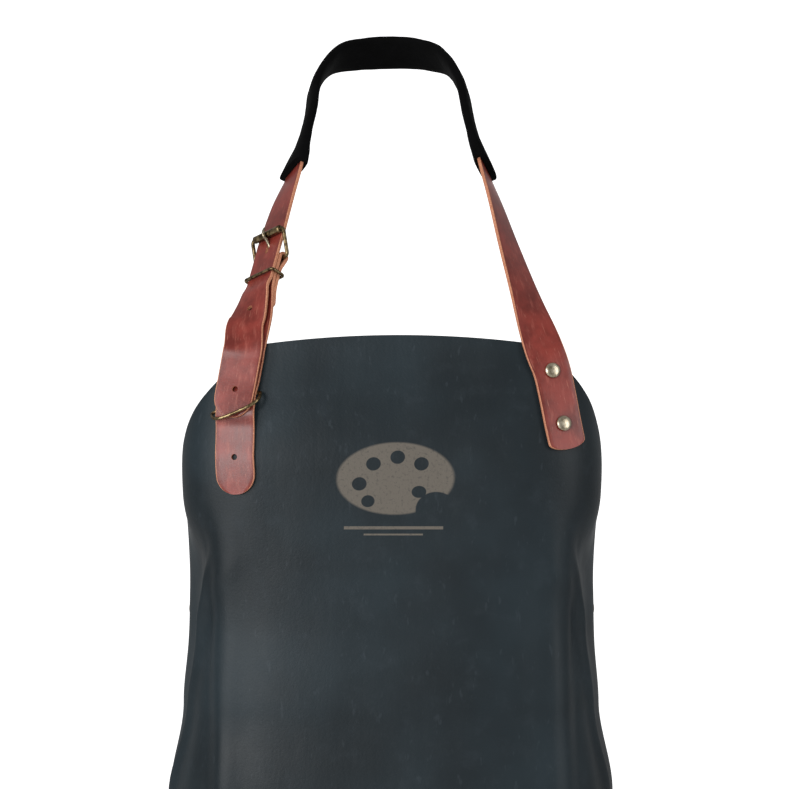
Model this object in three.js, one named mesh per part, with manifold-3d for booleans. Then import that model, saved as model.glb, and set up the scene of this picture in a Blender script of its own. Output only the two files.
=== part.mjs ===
// Leather bib apron worn on an unseen body, millimetres.
// +Z is up, the wearer faces -Y, +X is the viewer's right.  The origin is the point of the neck
// sleeve that rests on the nape of the neck.
import * as THREE from 'three';
import { mergeVertices } from 'three/addons/utils/BufferGeometryUtils.js';
import Module from 'manifold-3d';

const wasm = await Module();
wasm.setup();

// Leather
const panelThickness = 2;
const panelWidth = 650;
const panelLength = 850;
const bibTopHeight = -230;
const bibWidth = 212;
const bibSway = 4;
const bibTopFall = 7;
const armholeDepth = 284;
const hemCornerRadius = 30;
const strapWidth = 30;
const strapThickness = 2.6;
const sleeveWidth = strapWidth + 8;
const sleeveThickness = 8;
const sleeveRoom = 0.7;
const gap = 0.3;
const seatGap = 0.55;

// Body the apron hangs round: height, half width, half depth, squareness of the section
const bodyRings = [
  { z: -150, wide: 140, deep: 78, square: 4.8 },
  { z: -230, wide: 150, deep: 84, square: 4.8 },
  { z: -330, wide: 160, deep: 99, square: 4.8 },
  { z: -445, wide: 153.5, deep: 98, square: 3.8 },
  { z: -515, wide: 159.5, deep: 101, square: 3.8 },
  { z: -583, wide: 169, deep: 104, square: 3.8 },
  { z: -720, wide: 180, deep: 108, square: 3.8 },
  { z: -1080, wide: 184, deep: 112, square: 3.8 },
];
const bodyCentreY = -80;

// Rivets
const rivetHeadRadius = 5;
const rivetHeadHeight = 2.3;
const rivetPostRadius = 1.5;
const rivetSocketDepth = 1.3;
const rivetFlangeRadius = 3.3;
const rivetFlangeThickness = 0.9;
const capGap = 0.75;
const backGap = 1.3;

// Roller buckle
const barRadius = 1.5;
const frameHalfWidth = strapWidth / 2 + 4;
const frameCornerRadius = 3;
const frameLength = 20;
const rollerOuterRadius = 2.9;
const rollerHalfLength = strapWidth / 2 + 0.6;
const rollerLift = strapThickness / 2 + gap + rollerOuterRadius;
const heelDrop = strapThickness / 2 + strapThickness + 2 * gap + barRadius;
const prongRadius = 1.2;
const keeperWireRadius = 1.25;
const keeperPosition = 36.5;
const slotWidth = 4;
const punchedHoleRadius = 2.3;
const chapeLength = 45;
const chapeRivetPosition = 50;

// D ring
const ringWireRadius = 1.1;
const ringHalfWidth = strapWidth / 2 + 5.3;
const ringHeight = 16;
const ringTilt = THREE.MathUtils.degToRad(21);
const ringLean = THREE.MathUtils.degToRad(48);

// Waist straps
const waistHeight = -445;
const waistLift = 1.3;
const waistStrapStart = 257;
const waistRivets = [266, 284];
const waistStandOff = 8;
const waistBilletTail = 80;

// Mesh fineness
const panelColumns = 50;
const panelRows = 24;
const strapStep = 8;
const roundSides = 14;
const wireSides = 8;

const layerPitch = strapThickness + gap;
const onPanel = panelThickness + seatGap + strapThickness / 2;

const vec = (x, y, z) => new THREE.Vector3(x, y, z);
const mix = THREE.MathUtils.lerp;

// ---------- body surface ----------

function bodyAt(z) {
  const first = bodyRings[0];
  const last = bodyRings[bodyRings.length - 1];
  if (z >= first.z) return first;
  if (z <= last.z) return last;
  const below = bodyRings.findIndex((ring) => ring.z < z);
  const a = bodyRings[below - 1];
  const b = bodyRings[below];
  const share = THREE.MathUtils.smoothstep(a.z - z, 0, a.z - b.z);
  return {
    wide: mix(a.wide, b.wide, share),
    deep: mix(a.deep, b.deep, share),
    square: mix(a.square, b.square, share),
  };
}

// A point on the body's ring; turn runs from the front centre, positive to the viewer's right.
function onRing(turn, z, lift) {
  const { wide, deep, square: n } = bodyAt(z);
  const side = Math.sin(turn);
  const front = Math.cos(turn);
  const reach = (Math.abs(side / wide) ** n + Math.abs(front / deep) ** n) ** (-1 / n);
  const out = vec(
    Math.sign(side) * Math.abs((reach * side) / wide) ** (n - 1) / wide,
    -Math.sign(front) * Math.abs((reach * front) / deep) ** (n - 1) / deep,
    0,
  ).normalize();
  const at = vec(reach * side, bodyCentreY - reach * front, z).addScaledVector(out, lift);
  return { at, out };
}

// The same ring addressed by the distance walked along it from the front centre.
function alongRing(walk, z, lift) {
  const steps = 160;
  let travelled = 0;
  let turn = 0;
  let here = onRing(0, z, 0).at;
  for (let i = 1; i <= steps; i += 1) {
    const next = onRing((Math.PI * i) / steps, z, 0).at;
    const chord = next.distanceTo(here);
    if (travelled + chord >= Math.abs(walk)) {
      turn = (Math.PI * (i - 1 + (Math.abs(walk) - travelled) / chord)) / steps;
      break;
    }
    travelled += chord;
    here = next;
    turn = Math.PI;
  }
  return onRing(Math.sign(walk) * turn, z, lift);
}

// A point on the front of the body straight behind (x, z).
function onFront(x, z, lift) {
  const { wide, deep, square: n } = bodyAt(z);
  const depth = deep * (1 - Math.abs(x / wide) ** n) ** (1 / n);
  return onRing(Math.atan2(x, depth), z, lift);
}

// ---------- solids ----------

function toSolid(geometry) {
  const bare = geometry.clone();
  bare.deleteAttribute('normal');
  bare.deleteAttribute('uv');
  const merged = mergeVertices(bare, 1e-4);
  return new wasm.Manifold(new wasm.Mesh({
    numProp: 3,
    vertProperties: Float32Array.from(merged.attributes.position.array),
    triVerts: Uint32Array.from(merged.index.array),
  }));
}

function fromSolid(solid) {
  const mesh = solid.getMesh();
  const geometry = new THREE.BufferGeometry();
  geometry.setAttribute('position', new THREE.BufferAttribute(mesh.vertProperties, 3));
  geometry.setIndex(new THREE.BufferAttribute(mesh.triVerts, 1));
  geometry.computeVertexNormals();
  return geometry;
}

function cut(geometry, cutters) {
  let solid = toSolid(geometry);
  for (const cutter of cutters) {
    solid = solid.subtract(toSolid(cutter));
  }
  return fromSolid(solid);
}

function joined(geometries) {
  return fromSolid(geometries.map(toSolid).reduce((whole, next) => whole.add(next)));
}

// A body of revolution about the local Y axis; the outline is given from the bottom up.
function turned(outline, frame) {
  const points = outline.map(([r, y]) => new THREE.Vector2(r, y));
  return new THREE.LatheGeometry(points, roundSides).applyMatrix4(frame);
}

function drill(frame, radius) {
  const reach = 16;
  return new THREE.CylinderGeometry(radius, radius, reach, roundSides).applyMatrix4(frame);
}

// ---------- leather strips ----------

class Route {
  constructor(stops) {
    const smooth = (points) => new THREE.CatmullRomCurve3(points, false, 'catmullrom', 0.5);
    this.line = smooth(stops.map((stop) => stop.at));
    this.faces = smooth(stops.map((stop) => stop.out));
    this.line.arcLengthDivisions = 1200;
    this.length = this.line.getLength();
    this.count = stops.length;
  }

  // Local axes at a distance along the strip: X across, Y out of its face, Z along.
  frame(distance, lift = 0) {
    const t = this.line.getUtoTmapping(0, distance);
    const along = this.line.getTangent(t);
    const out = this.faces.getPoint(t);
    out.addScaledVector(along, -out.dot(along)).normalize();
    const across = out.clone().cross(along);
    const at = this.line.getPoint(t).addScaledVector(out, lift);
    return new THREE.Matrix4().makeBasis(across, out, along).setPosition(at);
  }

  // Distance from the start to the place on the strip nearest a point.
  nearest(point) {
    let best = 0;
    let least = Infinity;
    for (let d = 0; d <= this.length; d += 0.25) {
      const t = this.line.getUtoTmapping(0, d);
      const away = this.line.getPoint(t).distanceTo(point);
      if (away < least) {
        least = away;
        best = d;
      }
    }
    return best;
  }
}

// Stations down a strip; a round end draws its width in, a fine stretch has closer stations.
function stations(length, { startRound = 0, endRound = 0, fine = null } = {}) {
  const list = [];
  const tip = (depth) => [20, 36, 54, 72].map((degrees) => {
    const angle = THREE.MathUtils.degToRad(degrees);
    const start = Math.cos(THREE.MathUtils.degToRad(20));
    return { in: depth * (start - Math.cos(angle)), share: Math.sin(angle) };
  });
  if (startRound) {
    for (const point of tip(startRound)) list.push({ at: point.in, share: point.share });
  }
  const from = startRound;
  const to = length - endRound;
  let at = from;
  while (at < to - 0.5) {
    list.push({ at, share: 1 });
    const close = fine && at >= fine.from - 0.01 && at < fine.to;
    let next = at + (close ? fine.step : strapStep);
    if (fine && at < fine.from && next > fine.from) next = fine.from;
    at = Math.min(next, to);
  }
  list.push({ at: to, share: 1 });
  if (endRound) {
    for (const point of tip(endRound).reverse()) {
      list.push({ at: length - point.in, share: point.share });
    }
  }
  return list;
}

function strip(section, route, list) {
  const geometry = new THREE.ExtrudeGeometry(section, {
    depth: list.length - 1,
    steps: list.length - 1,
    bevelEnabled: false,
    curveSegments: 8,
  });
  const frames = list.map((station) => route.frame(station.at));
  const position = geometry.attributes.position;
  const point = vec(0, 0, 0);
  for (let i = 0; i < position.count; i += 1) {
    const k = Math.round(position.getZ(i));
    point.set(position.getX(i) * list[k].share, position.getY(i), 0).applyMatrix4(frames[k]);
    position.setXYZ(i, point.x, point.y, point.z);
  }
  return geometry;
}

function oblong(width, thickness) {
  const x = width / 2;
  const y = thickness / 2;
  return new THREE.Shape([[-x, -y], [x, -y], [x, y], [-x, y]].map(([a, b]) => new THREE.Vector2(a, b)));
}

// A superellipse: fuller than an ellipse, with no corners.
function softOblong(width, thickness, fullness, sides) {
  const points = [];
  for (let i = 0; i < sides; i += 1) {
    const a = (2 * Math.PI * (i + 0.5)) / sides;
    const reach = (Math.abs(Math.cos(a)) ** fullness + Math.abs(Math.sin(a)) ** fullness) ** (-1 / fullness);
    points.push(new THREE.Vector2((width / 2) * reach * Math.cos(a), (thickness / 2) * reach * Math.sin(a)));
  }
  return new THREE.Shape(points);
}

const strapSection = oblong(strapWidth, strapThickness);

// ---------- apron panel ----------

// Height of the cut top edge at a walk round the body from the front centre.
function topEdge(walk) {
  const half = bibWidth / 2;
  const reach = Math.abs(walk);
  if (reach <= half) return bibTopHeight - bibTopFall * (reach / half) ** 2;
  const q = (reach - half) / (panelWidth / 2 - half);
  return bibTopHeight - bibTopFall - armholeDepth * (0.84 * q ** 1.15 + 0.16 * q ** 16);
}

function hemEdge(walk) {
  const hem = bibTopHeight - panelLength;
  const past = Math.abs(walk) - (panelWidth / 2 - hemCornerRadius);
  if (past <= 0) return hem;
  return hem + hemCornerRadius - Math.sqrt(Math.max(0, hemCornerRadius ** 2 - past ** 2));
}

function panelSheet() {
  const geometry = new THREE.BoxGeometry(1, 1, 1, panelColumns, 1, panelRows);
  const position = geometry.attributes.position;
  for (let i = 0; i < position.count; i += 1) {
    const walk = position.getX(i) * panelWidth;
    const z = mix(topEdge(walk), hemEdge(walk), 0.5 - position.getZ(i));
    const lift = (0.5 - position.getY(i)) * panelThickness;
    const sway = bibSway * THREE.MathUtils.smoothstep(z, waistHeight, bibTopHeight);
    const { at } = alongRing(walk + sway, z, lift);
    position.setXYZ(i, at.x, at.y, at.z);
  }
  return geometry;
}

// ---------- roller buckle ----------

// Buckle axes: X across the strap, Y outward, Z down the strap from the roller.
function buckleFrame(origin, out, down) {
  const along = down.clone().normalize();
  const face = out.clone().addScaledVector(along, -out.dot(along)).normalize();
  return new THREE.Matrix4().makeBasis(face.clone().cross(along), face, along).setPosition(origin);
}

function inBuckle(frame, n, u, outN = 1, outU = 0) {
  const at = vec(0, n, u).applyMatrix4(frame);
  const out = vec(0, outN, outU).transformDirection(frame);
  return { at, out };
}

// The strip that carries the buckle: short tail, turn round the heel bar, then away down the strap.
function chapeStops(frame, tail, away) {
  const turnRadius = barRadius + gap + strapThickness / 2;
  const stops = tail.map(([u, n]) => inBuckle(frame, n, u, -1, 0));
  for (const degrees of [-90, -45, 0, 45, 90]) {
    const a = THREE.MathUtils.degToRad(degrees);
    const n = -heelDrop + turnRadius * Math.sin(a);
    const u = frameLength - turnRadius * Math.cos(a);
    stops.push(inBuckle(frame, n, u, Math.sin(a), -Math.cos(a)));
  }
  for (const [u, n] of away) stops.push(inBuckle(frame, n, u));
  return stops;
}

function closedTube(points, radius, segments) {
  const path = new THREE.CatmullRomCurve3(points, true, 'catmullrom', 0.5);
  return new THREE.TubeGeometry(path, segments, radius, wireSides, true);
}

// Points round a rectangle with rounded corners, spaced evenly enough to carry a wire.
function roundedLoop(halfX, halfY, corner) {
  const points = [];
  for (const [sx, sy, start] of [[1, 1, 0], [-1, 1, 90], [-1, -1, 180], [1, -1, 270]]) {
    for (const extra of [0, 30, 60, 90]) {
      const a = THREE.MathUtils.degToRad(start + extra);
      const x = sx * (halfX - corner) + corner * Math.cos(a);
      const y = sy * (halfY - corner) + corner * Math.sin(a);
      points.push(new THREE.Vector2(x, y));
    }
    const last = points[points.length - 1];
    const across = Math.abs(last.y) > halfY - 0.01;
    for (const share of [0.5, 0, -0.5]) {
      const x = across ? (halfX - corner) * share * Math.sign(sx) : last.x;
      const y = across ? last.y : (halfY - corner) * share * Math.sign(sy);
      points.push(new THREE.Vector2(x, y));
    }
  }
  return points;
}

function buckleWire(frame) {
  const rise = rollerLift + heelDrop;
  const side = Math.hypot(rise, frameLength);
  const loop = roundedLoop(frameHalfWidth, side / 2, frameCornerRadius);
  const points = loop.map(({ x, y }) => {
    const share = y / side + 0.5;
    return vec(x, mix(rollerLift, -heelDrop, share), mix(0, frameLength, share));
  });
  return closedTube(points, barRadius, 54).applyMatrix4(frame);
}

function buckleRoller(frame) {
  const ring = new THREE.Shape().absarc(0, 0, rollerOuterRadius, 0, Math.PI * 2);
  ring.holes.push(new THREE.Path().absarc(0, 0, barRadius + gap, 0, Math.PI * 2));
  const geometry = new THREE.ExtrudeGeometry(ring, {
    depth: 2 * rollerHalfLength, bevelEnabled: false, curveSegments: 16,
  });
  geometry.translate(0, 0, -rollerHalfLength).rotateY(Math.PI / 2).translate(0, rollerLift, 0);
  return geometry.applyMatrix4(frame);
}

function buckleProng(frame) {
  const eyeRadius = barRadius + gap + prongRadius;
  const eye = new THREE.TorusGeometry(eyeRadius, prongRadius, wireSides, 18).rotateY(Math.PI / 2);
  eye.translate(0, -heelDrop, frameLength);
  const over = rollerOuterRadius + gap + prongRadius + 0.1;
  const points = [vec(0, -heelDrop + 1.9, frameLength - 2.3), vec(0, -2.9, frameLength - 6), vec(0, 0, 8.6)];
  for (const degrees of [5, 35, 62, 90]) {
    const a = THREE.MathUtils.degToRad(degrees);
    points.push(vec(0, rollerLift + over * Math.sin(a), over * Math.cos(a)));
  }
  points.push(vec(0, rollerLift + over, -3.4));
  const wire = new THREE.Shape().absarc(0, 0, prongRadius, 0, Math.PI * 2);
  const arm = new THREE.ExtrudeGeometry(wire, {
    steps: 16, bevelEnabled: false, curveSegments: wireSides / 2, extrudePath: new THREE.CatmullRomCurve3(points),
  });
  return joined([eye, arm]).applyMatrix4(frame);
}

function keeperLoop(frame) {
  const room = gap + 0.1 + keeperWireRadius;
  const top = strapThickness / 2 + room;
  const bottom = -(2.5 * strapThickness + 2 * gap) - room - 0.3;
  const halfX = strapWidth / 2 + room + 0.2;
  const points = roundedLoop(halfX, (top - bottom) / 2, 2.4).map(({ x, y }) => (
    vec(x, y + (top + bottom) / 2, keeperPosition)
  ));
  return closedTube(points, keeperWireRadius, 56).applyMatrix4(frame);
}

// Room for the prong through the folded strip, and the prong hole through the long strap.
function chapeSlot(frame) {
  const slot = new THREE.BoxGeometry(slotWidth, 12, 12);
  slot.translate(0, -heelDrop, frameLength + 0.5);
  return slot.applyMatrix4(frame);
}

function prongHole(frame) {
  return new THREE.BoxGeometry(2 * prongRadius + 1, 6, 10.4).translate(0, 0, 10.6).applyMatrix4(frame);
}

// ---------- rivets ----------

// The frame's origin is on the outer face of the outermost layer, Y outward.
function rivetCap(frame) {
  const socket = rivetPostRadius + gap;
  const rim = 0.7;
  const outline = [[0, capGap + rivetSocketDepth], [socket, capGap + rivetSocketDepth], [socket, capGap]];
  outline.push([rivetHeadRadius, capGap], [rivetHeadRadius, capGap + rim]);
  for (const degrees of [30, 60]) {
    const a = THREE.MathUtils.degToRad(degrees);
    outline.push([rivetHeadRadius * Math.cos(a), capGap + rim + (rivetHeadHeight - rim) * Math.sin(a)]);
  }
  outline.push([0, capGap + rivetHeadHeight]);
  return turned(outline, frame);
}

function rivetPost(frame, stack) {
  const under = -stack - backGap;
  const top = capGap + rivetSocketDepth - gap;
  const outline = [
    [0, under - rivetFlangeThickness],
    [rivetFlangeRadius, under - rivetFlangeThickness],
    [rivetFlangeRadius, under],
    [rivetPostRadius, under],
    [rivetPostRadius, top],
    [0, top],
  ];
  return turned(outline, frame);
}

const rivetHole = (frame) => drill(frame, rivetPostRadius + gap);

// ---------- routes ----------

const neckBuckle = buckleFrame(vec(-92, -116, -154), vec(-0.73, -0.49, 0.47), vec(-0.21, -0.5, -0.84));

const ringSeat = panelThickness + 2 * ringWireRadius + 6.5 * gap + strapThickness / 2;
const overRing = ringSeat + layerPitch + gap;

// Below the keeper the strips turn to face the front; turn is the angle from straight ahead.
function leaving(n, u, turn, across) {
  const a = THREE.MathUtils.degToRad(turn);
  return { at: vec(across, n, u).applyMatrix4(neckBuckle), out: vec(-Math.sin(a), -Math.cos(a), 0.45) };
}

// Long neck strap: right end, over the nape, through the buckle, down to its rounded tip.
const neckStops = [
  onFront(131.5, -316, onPanel + 0.2),
  onFront(127.6, -297, onPanel + 0.2),
  onFront(124, -277, onPanel + 0.2),
  onFront(119.8, -257, onPanel + 0.2),
  onFront(113, -238, onPanel + 1),
  { at: vec(101.5, -143, -198), out: vec(0.6, -0.65, 0.4) },
  { at: vec(89.6, -119, -158), out: vec(0.75, -0.38, 0.5) },
  { at: vec(80, -100, -124), out: vec(0.83, -0.2, 0.48) },
  { at: vec(72, -80, -98), out: vec(0.88, -0.06, 0.46) },
  { at: vec(65.5, -70, -78), out: vec(0.9, -0.02, 0.42) },
  { at: vec(60, -58, -54), out: vec(0.92, 0, 0.4) },
  { at: vec(55, -43, -30), out: vec(0.86, 0.1, 0.5) },
  { at: vec(43, -18, -9), out: vec(0.55, 0.35, 0.75) },
  { at: vec(24, -2, -1), out: vec(0.2, 0.5, 0.82) },
  { at: vec(0, 2.2, 0.8), out: vec(0, 0.55, 0.83) },
  { at: vec(-26, -2, -1), out: vec(-0.2, 0.5, 0.82) },
  { at: vec(-47, -18, -8), out: vec(-0.55, 0.35, 0.75) },
  { at: vec(-60, -43, -29), out: vec(-0.86, 0.1, 0.5) },
  { at: vec(-64, -58, -54), out: vec(-0.92, 0, 0.4) },
  { at: vec(-69.5, -70, -78), out: vec(-0.9, -0.06, 0.42) },
  { at: vec(-75.5, -82, -100), out: vec(-0.84, -0.2, 0.48) },
  { at: vec(-84, -98, -125), out: vec(-0.78, -0.38, 0.5) },
  ...[0, 12, 24, 34, 42].map((u) => inBuckle(neckBuckle, 0, u)),
  ...[[50, 2.6, 50, 0], [58, 3.4, 39, 1.7], [67, 3.4, 29, 2.2], [76, 3.4, 22, 1.2]].map(([u, n, turn, across]) => (
    leaving(n, u, turn, across)
  )),
  onFront(-109.4, -238, overRing + 1),
  onFront(-110.8, -248, overRing),
  onFront(-113.6, -264, overRing),
  onFront(-116, -278, overRing),
  onFront(-117.6, -292, overRing),
];
const neckRoute = new Route(neckStops);

// Buckle strap: tail behind, round the heel bar, down to the bib and over the ring's bar.
const chapeTail = [
  [frameLength + chapeLength, -3.31],
  [frameLength + chapeLength - 8, -2.76],
  [chapeRivetPosition, -2.24],
  [40, -2.035],
  [31, -2.105],
  [25.5, -2.66],
].map(([u, layers]) => [u, layers * layerPitch]);
const chapeStraight = [[24, -layerPitch], [31, -layerPitch], [40, -layerPitch]];
const baseStops = [
  ...chapeStops(neckBuckle, chapeTail, chapeStraight),
  ...[[50, -1.24, 51.5, 0], [59, -1.45, 40, 1.6], [68, -1.35, 30, 2.2], [77, -1.3, 22, 1.2]].map(
    ([u, layers, turn, across]) => leaving(layers * layerPitch, u, turn, across),
  ),
  onFront(-108.8, -238, onPanel + 0.4),
  onFront(-110, -246, onPanel + 0.5),
  onFront(-111.6, -255, onPanel + 0.3),
  onFront(-113, -264, onPanel + 1.1),
  onFront(-114.4, -273, ringSeat),
  onFront(-115.3, -281, ringSeat + 0.1),
  onFront(-115.9, -289, ringSeat),
  onFront(-116.4, -299, onPanel + 0.9),
  onFront(-116.7, -309, onPanel),
  onFront(-117, -322, onPanel),
  onFront(-116.2, -337, onPanel),
  onFront(-115.4, -350, onPanel),
];
const baseRoute = new Route(baseStops);

// Waist straps meet at the back: buckle on the viewer's left strap, long end on the right one.
const waistBack = bodyCentreY + bodyAt(waistHeight).deep + waistStandOff;
const waistBuckle = buckleFrame(vec(frameLength / 2, waistBack, waistHeight), vec(0, 1, 0), vec(-1, 0, 0));
const waistLayers = [2.28, 2.105, 2.105, 2.105, 2.105, 2.66];
const waistTail = chapeTail.map(([u, n], i) => [u, Math.max(n, -layerPitch * waistLayers[i])]);
const beyond = [330, 352, 374];
const fromRivets = [waistStrapStart, 266, 275, 284, 300, 316];
const waistSpread = [[50, -1.14], [58, -1.21], [68, -1.14]].map(([u, layers]) => [u, layers * layerPitch]);
const waistLeftStops = [
  ...chapeStops(waistBuckle, waistTail, [...chapeStraight, ...waistSpread]),
  ...[...beyond].reverse().map((walk) => alongRing(-walk, waistHeight, onPanel + waistLift)),
  ...[...fromRivets].reverse().map((walk) => alongRing(-walk, waistHeight, onPanel + waistLift)),
];
const waistRightStops = [
  ...fromRivets.map((walk) => alongRing(walk, waistHeight, onPanel + waistLift)),
  ...beyond.map((walk) => alongRing(walk, waistHeight, onPanel + waistLift)),
  ...[-42, -26, -12, 0, 12, 24, 34, 42].map((u) => inBuckle(waistBuckle, 0, u)),
  ...[[50, 3.1], [58, 3.5], [68, 2.6], [waistBilletTail, 1.8]].map(([u, n]) => inBuckle(waistBuckle, n, u)),
];
const waistLeftRoute = new Route(waistLeftStops);
const waistRightRoute = new Route(waistRightStops);

// ---------- places of the fastenings ----------

const half = strapThickness / 2;
const surfaceFrame = (route, point) => route.frame(route.nearest(point), half);
const rightRivets = {
  upper: surfaceFrame(neckRoute, neckStops[3].at),
  lower: surfaceFrame(neckRoute, neckStops[1].at),
};
const leftRivet = surfaceFrame(baseRoute, onFront(-111.3, -253, onPanel).at);
const spareHole = surfaceFrame(baseRoute, onFront(-117, -322, onPanel).at);
const chapeRivet = (route, buckle) => (
  surfaceFrame(route, inBuckle(buckle, -layerPitch - 0.7, chapeRivetPosition).at)
);
const neckChape = chapeRivet(baseRoute, neckBuckle);
const waistChape = chapeRivet(waistLeftRoute, waistBuckle);
const waistPins = {};
for (const [side, sign, route] of [['left', -1, waistLeftRoute], ['right', 1, waistRightRoute]]) {
  for (const [name, walk] of [['front', waistRivets[0]], ['rear', waistRivets[1]]]) {
    const seat = alongRing(sign * walk, waistHeight, onPanel + waistLift).at;
    waistPins[`waist_rivet_${side}_${name}`] = { frame: surfaceFrame(route, seat), side };
  }
}
const punchedHoles = [
  inBuckle(neckBuckle, 5, 68).at,
  onFront(-114.8, -271, overRing).at,
].map((point) => drill(neckRoute.frame(neckRoute.nearest(point)), punchedHoleRadius));
const waistPunched = [34, 60].map((u) => (
  drill(waistRightRoute.frame(waistRightRoute.nearest(inBuckle(waistBuckle, 0, u).at)), punchedHoleRadius)
));

// ---------- colours ----------

const finish = {
  panel: { color: 0x2e363e, roughness: 0.55 },
  strap: { color: 0x8a4b45, roughness: 0.45 },
  sleeve: { color: 0x18181a, roughness: 0.95 },
  brass: { color: 0x6f5f45, roughness: 0.35, metalness: 1 },
};

const group = new THREE.Group();
group.name = 'artist_smock_apron';

function add(name, geometry, look) {
  const mesh = new THREE.Mesh(geometry, new THREE.MeshStandardMaterial(finish[look]));
  mesh.name = name;
  group.add(mesh);
}

// ---------- pieces ----------

const waistDrills = (side) => Object.values(waistPins)
  .filter((pin) => pin.side === side)
  .map((pin) => rivetHole(pin.frame));

add('apron_panel', cut(panelSheet(), [
  rivetHole(rightRivets.upper),
  rivetHole(rightRivets.lower),
  rivetHole(leftRivet),
  ...waistDrills('left'),
  ...waistDrills('right'),
]), 'panel');

add('neck_strap', cut(
  strip(strapSection, neckRoute, stations(neckRoute.length, { startRound: 6, endRound: strapWidth / 2 })),
  [rivetHole(rightRivets.upper), rivetHole(rightRivets.lower), prongHole(neckBuckle), ...punchedHoles],
), 'strap');

// Padded sleeve over the nape
const sleeveFrom = neckRoute.nearest(vec(72, -80, -98));
const sleeveTo = neckRoute.nearest(vec(-75.5, -82, -100));
const sleeveSection = softOblong(sleeveWidth, sleeveThickness, 2.8, 20);
sleeveSection.holes.push(oblong(strapWidth + 2 * sleeveRoom, strapThickness + 2 * sleeveRoom));
const sleeveList = stations(sleeveTo - sleeveFrom).map((s) => ({ at: s.at + sleeveFrom, share: 1 }));
add('neck_sleeve', strip(sleeveSection, neckRoute, sleeveList), 'sleeve');

for (const [name, frame] of Object.entries(rightRivets)) {
  add(`right_rivet_${name}_cap`, rivetCap(frame), 'brass');
  add(`right_rivet_${name}_post`, rivetPost(frame, strapThickness + seatGap + panelThickness), 'brass');
}

const foldAt = (route, buckle) => {
  const top = route.nearest(inBuckle(buckle, -heelDrop, frameLength - 3).at);
  return { from: top - 9, to: top + 9, step: 1.2 };
};
add('buckle_strap', cut(
  strip(strapSection, baseRoute, stations(baseRoute.length, {
    startRound: 4, endRound: strapWidth / 2, fine: foldAt(baseRoute, neckBuckle),
  })),
  [chapeSlot(neckBuckle), rivetHole(neckChape), rivetHole(leftRivet), drill(spareHole, punchedHoleRadius)],
), 'strap');

add('neck_buckle_frame', buckleWire(neckBuckle), 'brass');
add('neck_buckle_roller', buckleRoller(neckBuckle), 'brass');
add('neck_buckle_prong', buckleProng(neckBuckle), 'brass');
add('neck_strap_keeper', keeperLoop(neckBuckle), 'brass');

// Fold rivets wear their flat side outward, under the long strap.
const turnedOver = (frame, stack) => frame.clone()
  .multiply(new THREE.Matrix4().makeTranslation(0, -stack, 0))
  .multiply(new THREE.Matrix4().makeRotationX(Math.PI));
const foldStack = 2 * strapThickness + gap;
add('neck_fold_rivet_cap', rivetCap(turnedOver(neckChape, foldStack)), 'brass');
add('neck_fold_rivet_post', rivetPost(turnedOver(neckChape, foldStack), foldStack), 'brass');

add('left_rivet_cap', rivetCap(leftRivet), 'brass');
add('left_rivet_post', rivetPost(leftRivet, strapThickness + seatGap + panelThickness), 'brass');

// D ring: straight bar trapped behind the buckle strap, bow in front of it.
const ringSpot = onFront(-115.3, -281, panelThickness + gap + ringWireRadius);
const ringDown = onFront(-115.3, -291, 0).at.sub(onFront(-115.3, -271, 0).at);
const ringBase = buckleFrame(ringSpot.at, ringSpot.out, ringDown);
const ringFrame = ringBase.clone()
  .multiply(new THREE.Matrix4().makeTranslation(-1, 0, 0))
  .multiply(new THREE.Matrix4().makeRotationY(ringTilt))
  .multiply(new THREE.Matrix4().makeRotationX(-ringLean));
const ringPoints = [0.86, 0.5, 0, -0.5, -0.86].map((share) => vec(ringHalfWidth * share, 0, 0));
for (let degrees = 171; degrees > 0; degrees -= 18) {
  const a = THREE.MathUtils.degToRad(degrees);
  const reach = (Math.abs(Math.cos(a)) ** 3.2 + Math.sin(a) ** 3.2) ** (-1 / 3.2);
  ringPoints.push(vec(ringHalfWidth * reach * Math.cos(a), 0, ringHeight * reach * Math.sin(a)));
}
add('d_ring', closedTube(ringPoints, ringWireRadius, 60).applyMatrix4(ringFrame), 'brass');

add('waist_strap_left', cut(
  strip(strapSection, waistLeftRoute, stations(waistLeftRoute.length, {
    startRound: 4, endRound: 6, fine: foldAt(waistLeftRoute, waistBuckle),
  })),
  [chapeSlot(waistBuckle), rivetHole(waistChape), ...waistDrills('left')],
), 'strap');
add('waist_strap_right', cut(
  strip(strapSection, waistRightRoute, stations(waistRightRoute.length, {
    startRound: 6, endRound: strapWidth / 2,
  })),
  [prongHole(waistBuckle), ...waistPunched, ...waistDrills('right')],
), 'strap');
add('waist_buckle_frame', buckleWire(waistBuckle), 'brass');
add('waist_buckle_roller', buckleRoller(waistBuckle), 'brass');
add('waist_buckle_prong', buckleProng(waistBuckle), 'brass');
add('waist_strap_keeper', keeperLoop(waistBuckle), 'brass');
add('waist_fold_rivet_cap', rivetCap(turnedOver(waistChape, foldStack)), 'brass');
add('waist_fold_rivet_post', rivetPost(turnedOver(waistChape, foldStack), foldStack), 'brass');
for (const [name, pin] of Object.entries(waistPins)) {
  add(`${name}_cap`, rivetCap(pin.frame), 'brass');
  add(`${name}_post`, rivetPost(pin.frame, strapThickness + seatGap + waistLift + panelThickness), 'brass');
}

export default group;
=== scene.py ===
import math

import bmesh
import bpy
from mathutils import Matrix, Vector, noise


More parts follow.
